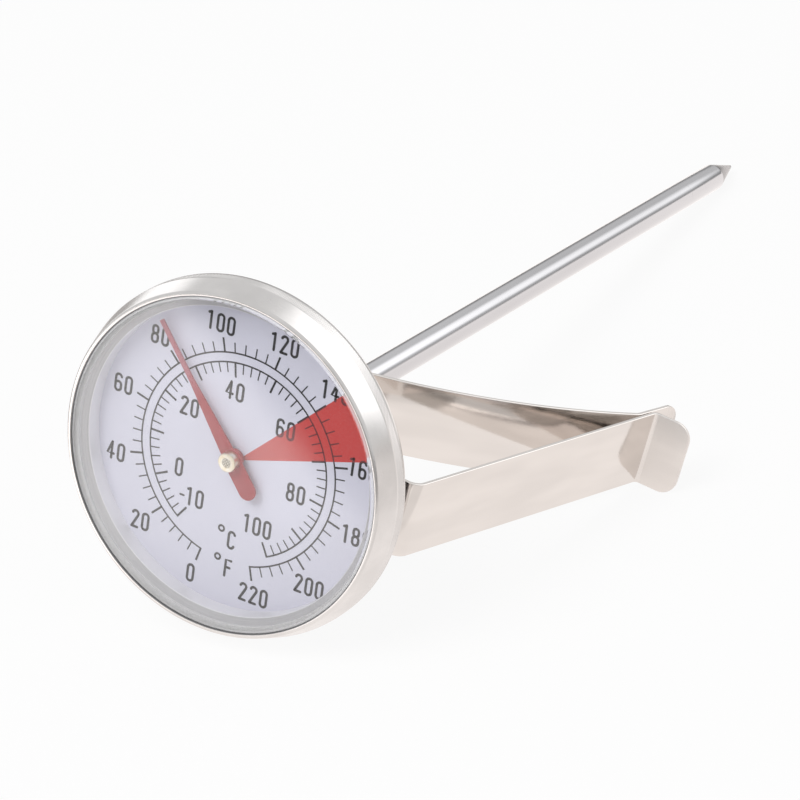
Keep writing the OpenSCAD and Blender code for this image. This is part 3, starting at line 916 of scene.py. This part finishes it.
def blade():
    """Flat red pointer with a slim end, a round tail and a boss over its barrel."""
    turn = turn_of_f(READING_F)
    tail_r = TAIL_W / 2
    boss_down = math.sqrt(BOSS_R ** 2 - tail_r ** 2)
    taper = (BLADE_W - WAIST_W) / 2 / WAIST_AT
    half_w = BLADE_W / 2
    boss_up = (half_w * taper + math.sqrt(BOSS_R ** 2 * (1 + taper ** 2) - half_w ** 2)) \
        / (1 + taper ** 2)
    side_at = half_w - taper * boss_up
    right_boss = arc((0, 0), BOSS_R, math.degrees(math.atan2(boss_up, side_at)),
                     math.degrees(math.atan2(-boss_down, tail_r)), 8)
    right = [(TIP_W / 2, BLADE_LEN), (WAIST_W / 2, WAIST_AT)] + right_boss
    tail = arc((0, -(TAIL_LEN - tail_r)), tail_r, 0, -180, 16)
    outline = right + tail + [(-x, y) for x, y in reversed(right)]
    count = len(outline)
    points = []
    for depth in (BLADE_FACE, BLADE_BACK):
        for side, along in outline:
            points.append((side * cos(turn) + along * sin(turn), depth,
                           -side * sin(turn) + along * cos(turn)))
    faces = [tuple(range(count)), tuple(range(2 * count - 1, count - 1, -1))]
    faces += [(i, (i + 1) % count, count + (i + 1) % count, count + i) for i in range(count)]
    piece = from_points("pointer_blade", points, faces, FINISHES["pointer_red"])
    outward(piece)
    ease = piece.modifiers.new("ease", "BEVEL")
    ease.width, ease.segments, ease.limit_method = 0.03 * MM, 2, "ANGLE"
    apply(piece)
    smooth(piece)
    fit(piece, "needle", "pointer_red", "pointer")


def cap():
    """Turned cap with an eased rim; its middle is hatched by its finish."""
    rim_r, bore_r, bore_end = 0.14, 0.52, (CAP_TOP + BLADE_FACE) / 2
    profile = (
        [(0, CAP_TOP), (HATCH_R, CAP_TOP)]
        + arc((CAP_R - rim_r, CAP_TOP + rim_r), rim_r, -90, 0, 6)
        + [(CAP_R, BLADE_FACE), (bore_r, BLADE_FACE), (bore_r, bore_end), (0, bore_end)])
    turned("pointer_cap", profile, "needle", "cap_brass", "hub_cap", facets=72)


# --- probe ---

def probe():
    """Polished tube, and the plug whose cone makes the point."""
    in_r = STEM_R - STEM_WALL
    tube = [(in_r, STEM_TOP), (STEM_R, STEM_TOP), (STEM_R, STEM_END - SEAM),
            (STEM_R - SEAM, STEM_END), (in_r, STEM_END), (in_r, STEM_TOP)]
    turned("probe_tube", tube, "case", "probe_steel", "stem_tube", facets=96)
    ease = 0.05
    plug = ([(0, SHANK_START), (in_r - SEAM, SHANK_START), (in_r - SEAM, STEM_END),
             (STEM_R - SEAM, STEM_END), (STEM_R, STEM_END + SEAM), (STEM_R, CONE_AT - 0.25),
             (STEM_R - 0.03, CONE_AT + ease), (POINT_R + ease, POINT_END - POINT_R - ease)]
            + arc((0, POINT_END - POINT_R), POINT_R, 20, 90, 5))
    turned("probe_point", plug, "case", "probe_steel", "tip_plug", facets=96)


# --- clip ---

def to_row(u, v, w):
    """A place in the clip's plane, w across the strip, to the row frame."""
    return (u * cos(CLIP_TURN) + w * sin(CLIP_TURN), v,
            -u * sin(CLIP_TURN) + w * cos(CLIP_TURN))


def walk(start, steps):
    """States (u, v, heading, way) of a strip's middle line along runs and bends."""
    states = [(*start, 0.0)]
    for step in steps:
        u, v, heading, way = states[-1]
        if len(step) == 2:
            length, parts = step
            for i in range(1, parts + 1):
                t = length * i / parts
                states.append((u + t * cos(heading), v + t * sin(heading), heading, way + t))
        else:
            r, turn, parts = step
            side = math.copysign(1, turn)
            for i in range(1, parts + 1):
                a = heading + turn * i / parts
                states.append((u + side * r * (sin(a) - sin(heading)),
                               v - side * r * (cos(a) - cos(heading)),
                               a, way + abs(math.radians(turn)) * r * i / parts))
    return states


def section(half_w, half_t, edge):
    """Cross-section of the strip with eased edges, as (across, through) points."""
    corners = [((half_w - edge, half_t - edge), 0), ((edge - half_w, half_t - edge), 90),
               ((edge - half_w, edge - half_t), 180), ((half_w - edge, edge - half_t), 270)]
    return [p for centre, first in corners for p in arc(centre, edge, first, first + 90, 3)]


def strip(name, states):
    """A strip with eased edges along its states; its far end has rounded corners."""
    length = states[-1][3]
    points, places, faces = [], [], []
    for u, v, heading, way in states:
        left = max(length - way, 0.0)
        lost = 0.0
        if left < LIP_ROUND:
            lost = LIP_ROUND - math.sqrt(max(LIP_ROUND ** 2 - (LIP_ROUND - left) ** 2, 0))
        loop = section(CLIP_W / 2 - lost, CLIP_T / 2, STRIP_EDGE)
        for across, through in loop:
            points.append(to_row(u - through * sin(heading), v + through * cos(heading),
                                 across))
            places.append((way * MM, across * MM))
    ring = len(loop)
    rows = len(states)
    for i in range(rows - 1):
        for k in range(ring):
            n = (k + 1) % ring
            faces.append((i * ring + k, i * ring + n, (i + 1) * ring + n, (i + 1) * ring + k))
    faces += [tuple(range(ring)), tuple(range((rows - 1) * ring, rows * ring))]
    piece = from_points(name, points, faces, FINISHES["spring_steel"])
    layer = piece.data.uv_layers.new(name="strip")
    for corner in piece.data.loops:
        layer.data[corner.index].uv = places[corner.vertex_index]
    outward(piece, 0.0001)
    return piece


def lip_steps(length):
    """A lip as runs that shorten towards its rounded corners."""
    marks = [LIP_ROUND * (1 - cos(a)) for a in range(90, -1, -10)]
    return [(length - LIP_ROUND, 1)] + [(a - b, 1) for a, b in zip(marks, marks[1:])]


def clip():
    """One bent strip: base, loop behind the probe and far arm, then the near arm."""
    arm_a = 90 - ARM_SPLAY
    arm_u, arm_v = BEND_AT + BEND_R * sin(arm_a), CLIP_V + BEND_R * (1 - cos(arm_a))
    off = CLIP_T + JAW_GAP
    pinch_u = arm_u + (ARM_LEN - PINCH_BACK) * cos(arm_a) - off * sin(arm_a)
    pinch_v = arm_v + (ARM_LEN - PINCH_BACK) * sin(arm_a) + off * cos(arm_a)
    end_u = pinch_u - KNEE_R * (sin(FAR_LIP_SLOPE) - sin(FAR_SLOPE))
    end_v = pinch_v - KNEE_R * (cos(FAR_SLOPE) - cos(FAR_LIP_SLOPE))
    chord_a = math.degrees(math.atan2(end_v - CROSS_V, end_u))
    far_r = math.hypot(end_u, end_v - CROSS_V) / (2 * sin(FAR_SLOPE - chord_a))
    cross_a = 2 * chord_a - FAR_SLOPE
    loop_a = math.degrees(math.asin(sin(cross_a) - LOOP_OVER / far_r))
    loop_v = CROSS_V - far_r * (cos(loop_a) - cos(cross_a))
    loop_u = LOOP_R * sin(loop_a) - LOOP_OVER
    spine = loop_v - LOOP_R * cos(loop_a) - (CLIP_V + LOOP_R)

    frame_states = walk((SPLIT_U - FLEX_GAP / 2, CLIP_V, 180), [
        (SPLIT_U - FLEX_GAP / 2 - loop_u, 6), (LOOP_R, -90, 18), (spine, 3),
        (LOOP_R, loop_a - 90, 14), (far_r, FAR_SLOPE - loop_a, 48),
        (KNEE_R, FAR_LIP_SLOPE - FAR_SLOPE, 8), *lip_steps(FAR_LIP)])
    body = strip("clip_strip", frame_states)
    hole = from_points("hole_cutter", [], [])
    hole_r, past = STEM_R + HOLE_PLAY, 6
    tool = bmesh.new()
    bmesh.ops.create_cone(
        tool, cap_ends=True, segments=64, radius1=hole_r * MM, radius2=hole_r * MM,
        depth=(CROSS_V - CLIP_V + 2 * past) * MM,
        matrix=Matrix.Translation((0, (CLIP_V + CROSS_V) / 2 * MM, 0))
        @ Matrix.Rotation(math.pi / 2, 4, "X"))
    tool.to_mesh(hole.data)
    tool.free()
    drill = body.modifiers.new("holes", "BOOLEAN")
    drill.operation, drill.object, drill.solver = "DIFFERENCE", hole, "EXACT"
    apply(body)
    bpy.data.objects.remove(hole)
    smooth(body, 40)
    fit(body, "clip", "spring_steel", "clip_frame")

    jaw_states = walk((SPLIT_U - FLEX_GAP / 2, CLIP_V, 0), [
        (BEND_AT - SPLIT_U + FLEX_GAP / 2, 3), (BEND_R, arm_a, 20), (ARM_LEN, 24),
        (NEAR_FOLD_R, NEAR_LIP_RISE - arm_a, 14), *lip_steps(NEAR_LIP)])
    arm = strip("near_arm", jaw_states)
    smooth(arm, 40)
    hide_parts("clip_jaw")
    [c * MM for c in to_row(SPLIT_U, CLIP_V, 0)]
    [c * MM for c in to_row(SPLIT_U + FLEX_LEN, CLIP_V, 0)]
    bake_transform(arm)


# --- studio ---

CAMERA_AT = (230.34, -418.44, 223.59)
CAMERA_RIGHT = (0.8611, 0.4919, 0.1288)
CAMERA_BACK = (0.4069, -0.8185, 0.4055)
CAMERA_LENS, SENSOR_W = 200.76, 36
# The room's upright, as the thermometer lies on its rim, its point and a clip lip
ROOM_UP = Vector((-0.178, -0.164, 0.970)).normalized()
ROOM_X = (Vector((1, 0, 0)) - ROOM_UP * ROOM_UP.x).normalized()
ROOM_Y = ROOM_UP.cross(ROOM_X)
KEY_W, FILL_W = 6.5, 2.0
ROOM_LIGHT, ROOM_GREY = 0.52, 0.75
# What metal sees in the room, by turn, height, half-width of the full part and of all
WHITE_PANELS = ((50, 33, 25, 38, 1.6), (146, 10, 10, 20, 1.35))  # level last
LOW_WALL = (92, 0, 34, 42, 0.58)  # loss last
EDGE_ACROSS, EDGE_AT = (-0.79, 0.6135), -30.5  # the sheet's front edge


def camera():
    made = linked("camera", bpy.data.cameras.new("camera"))
    back = Vector(CAMERA_BACK).normalized()
    right = Vector(CAMERA_RIGHT)
    right = (right - back * right.dot(back)).normalized()
    up = back.cross(right)
    made.matrix_world = Matrix.Translation(Vector(CAMERA_AT) * MM) \
        @ Matrix((right, up, back)).transposed().to_4x4()
    made.data.lens, made.data.sensor_width = CAMERA_LENS, SENSOR_W
    made.data.clip_start, made.data.clip_end = 0.01, 20
    bpy.context.scene.camera = made


def room_way(across_deg, up_deg):
    """A direction in the room, by its turn about the room's upright and its height."""
    level = ROOM_X * cos(across_deg) + ROOM_Y * sin(across_deg)
    return level * cos(up_deg) + ROOM_UP * sin(up_deg)


def floor():
    """White sheet under the thermometer as it lies at rest, on its rim and its point.

    Metal and glass see it lit unevenly: brighter to the front and the back, darker far
    away, to the left and beyond its front edge."""
    lowest = min(ROOM_UP.dot(corner.co) for node in frame["nodes"].values()
                 for corner in node.data.vertices)
    f = Finish("floor_white")
    x, y, _ = f.split(f.place())

    def side(x_part, y_part, low, high):
        """Nothing up to a line across the sheet, and one past it."""
        return f.between(x * x_part + y * y_part, low, high)

    lit = side(-0.5, -0.87, 10, 90) * side(0, -1, -10, 30)
    back, far = side(-0.66, 0.75, 20, 120), side(0.64, 0.77, 140, 260)
    left = side(-1, 0, 60, 120) * side(0, 1, -100, -60)
    distant = side(0.5, 0.87, 200, 420) * side(-0.7, 1, 0, 100)
    beyond = (1 - side(*EDGE_ACROSS, EDGE_AT - 4, EDGE_AT + 4)) \
        * (side(0, -1, 60, 110) * 0.7 + 0.15)
    mirrored = (1 + lit * 0.95 + back * 0.3 - far * 0.2) * (1 - beyond) \
        * (1 - left * 0.7) * (1 - distant * 0.5)
    camera_ray, shown = f.rays()
    paper = f.node("ShaderNodeBsdfDiffuse", values={"Color": rgba((0.9, 0.9, 0.9))})
    tint = f.colours(camera_ray, (1.0, 0.955, 0.93), (1.0, 1.0, 1.0))
    white = f.node("ShaderNodeEmission", values={
        "Color": tint, "Strength": 1 + (mirrored - 1) * shown})
    f.close(f.node("ShaderNodeMixShader",
                   values={0: camera_ray * 0.9 + shown, 1: paper, 2: white}))
    f.material.cycles.emission_sampling = "NONE"
    size = 3000
    made = from_points("floor", [(-size, -size, 0), (size, -size, 0), (size, size, 0),
                                 (-size, size, 0)], [(0, 1, 2, 3)], f.material)
    made.matrix_world = Matrix.Translation(ROOM_UP * lowest) \
        @ Matrix((ROOM_X, ROOM_Y, ROOM_UP)).transposed().to_4x4()


def soft_box(name, at, toward, size, power):
    lamp = bpy.data.lights.new(name, "AREA")
    lamp.shape, lamp.size, lamp.size_y, lamp.energy = "RECTANGLE", *size, power
    made = linked(name, lamp)
    way = Vector(toward) - Vector(at)
    made.matrix_world = Matrix.LocRotScale(Vector(at), way.to_track_quat("-Z", "Y"), None)
    made.visible_glossy = made.visible_transmission = False


def studio():
    """Soft light from the upper left; metal sees white panels and a dark low wall."""
    floor()
    soft_box("key", (-0.35, -0.75, 0.75), (0, 0.03, 0), (0.7, 0.7), KEY_W)
    soft_box("fill", (0.9, -0.2, 0.35), (0, 0.05, 0), (0.5, 0.8), FILL_W)
    world = bpy.data.worlds.new("studio")
    world.use_nodes = True
    tree = Tree(world.node_tree)
    tree.nodes.nodes.clear()
    looking = tree.node("ShaderNodeTexCoord", output="Generated")

    def along(axis):
        return tree.node("ShaderNodeVectorMath", {"operation": "DOT_PRODUCT"},
                         {0: looking, 1: axis}, output="Value")

    def spot(across, height, inner, outer):
        return tree.between(along(room_way(across, height)), cos(outer), cos(inner))

    mirrored = ROOM_GREY
    for *place, level in WHITE_PANELS:
        mirrored = spot(*place) * (level - ROOM_GREY) + mirrored
    *place, loss = LOW_WALL
    low = 1 - tree.between(along(ROOM_UP), 0.08, 0.25)
    mirrored = mirrored * (1 - spot(*place) * low * loss)
    camera_ray, shown = tree.rays()
    strength = ROOM_LIGHT + camera_ray * (1 - ROOM_LIGHT) + shown * (mirrored - ROOM_LIGHT)
    room = tree.node("ShaderNodeBackground", values={"Color": rgba((1, 1, 1)),
                                                     "Strength": strength})
    tree.node("ShaderNodeOutputWorld", values={"Surface": room})
    bpy.context.scene.world = world
    bpy.context.scene.view_settings.view_transform = "Standard"


TURNED = turned_form()
KNURL = knurl_form()
TICKS = tick_form()

camera()
studio()
dress_nodes()
bezel()
lens_pane()
dial_ring()
pan()
dial_print()
blade()
cap()
probe()
clip()
